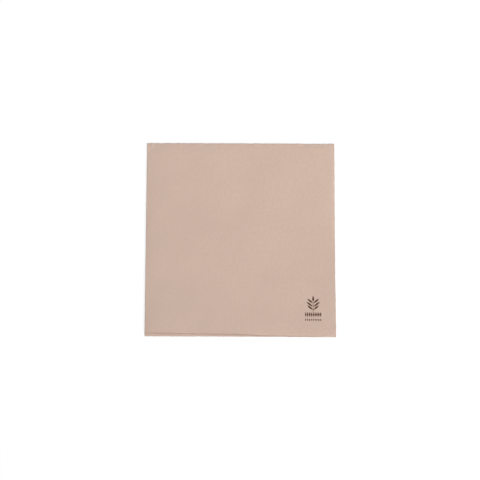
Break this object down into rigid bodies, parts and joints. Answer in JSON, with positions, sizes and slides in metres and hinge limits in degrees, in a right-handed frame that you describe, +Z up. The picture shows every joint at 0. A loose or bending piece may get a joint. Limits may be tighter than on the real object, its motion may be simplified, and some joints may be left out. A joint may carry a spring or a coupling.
{
  "type": "paper napkin",
  "caption": "Soft unbleached paper napkin folded into a flat square, with a small printed leaf ornament at its open corner.",
  "frame": {"origin": "under the middle of the folded napkin's outline, on the surface it lies on", "axes": "+Z up through the layers, +Y towards the second fold, -X towards the first fold, so the sheet's open corner is at +X, -Y"},
  "size_m": [0.1628, 0.1676, 0.0019],
  "materials": {
    "kraft_tissue": "matte"
  },
  "bodies": {
    "root": {"napkin": "kraft_tissue"}
  },
  "joints": []
}
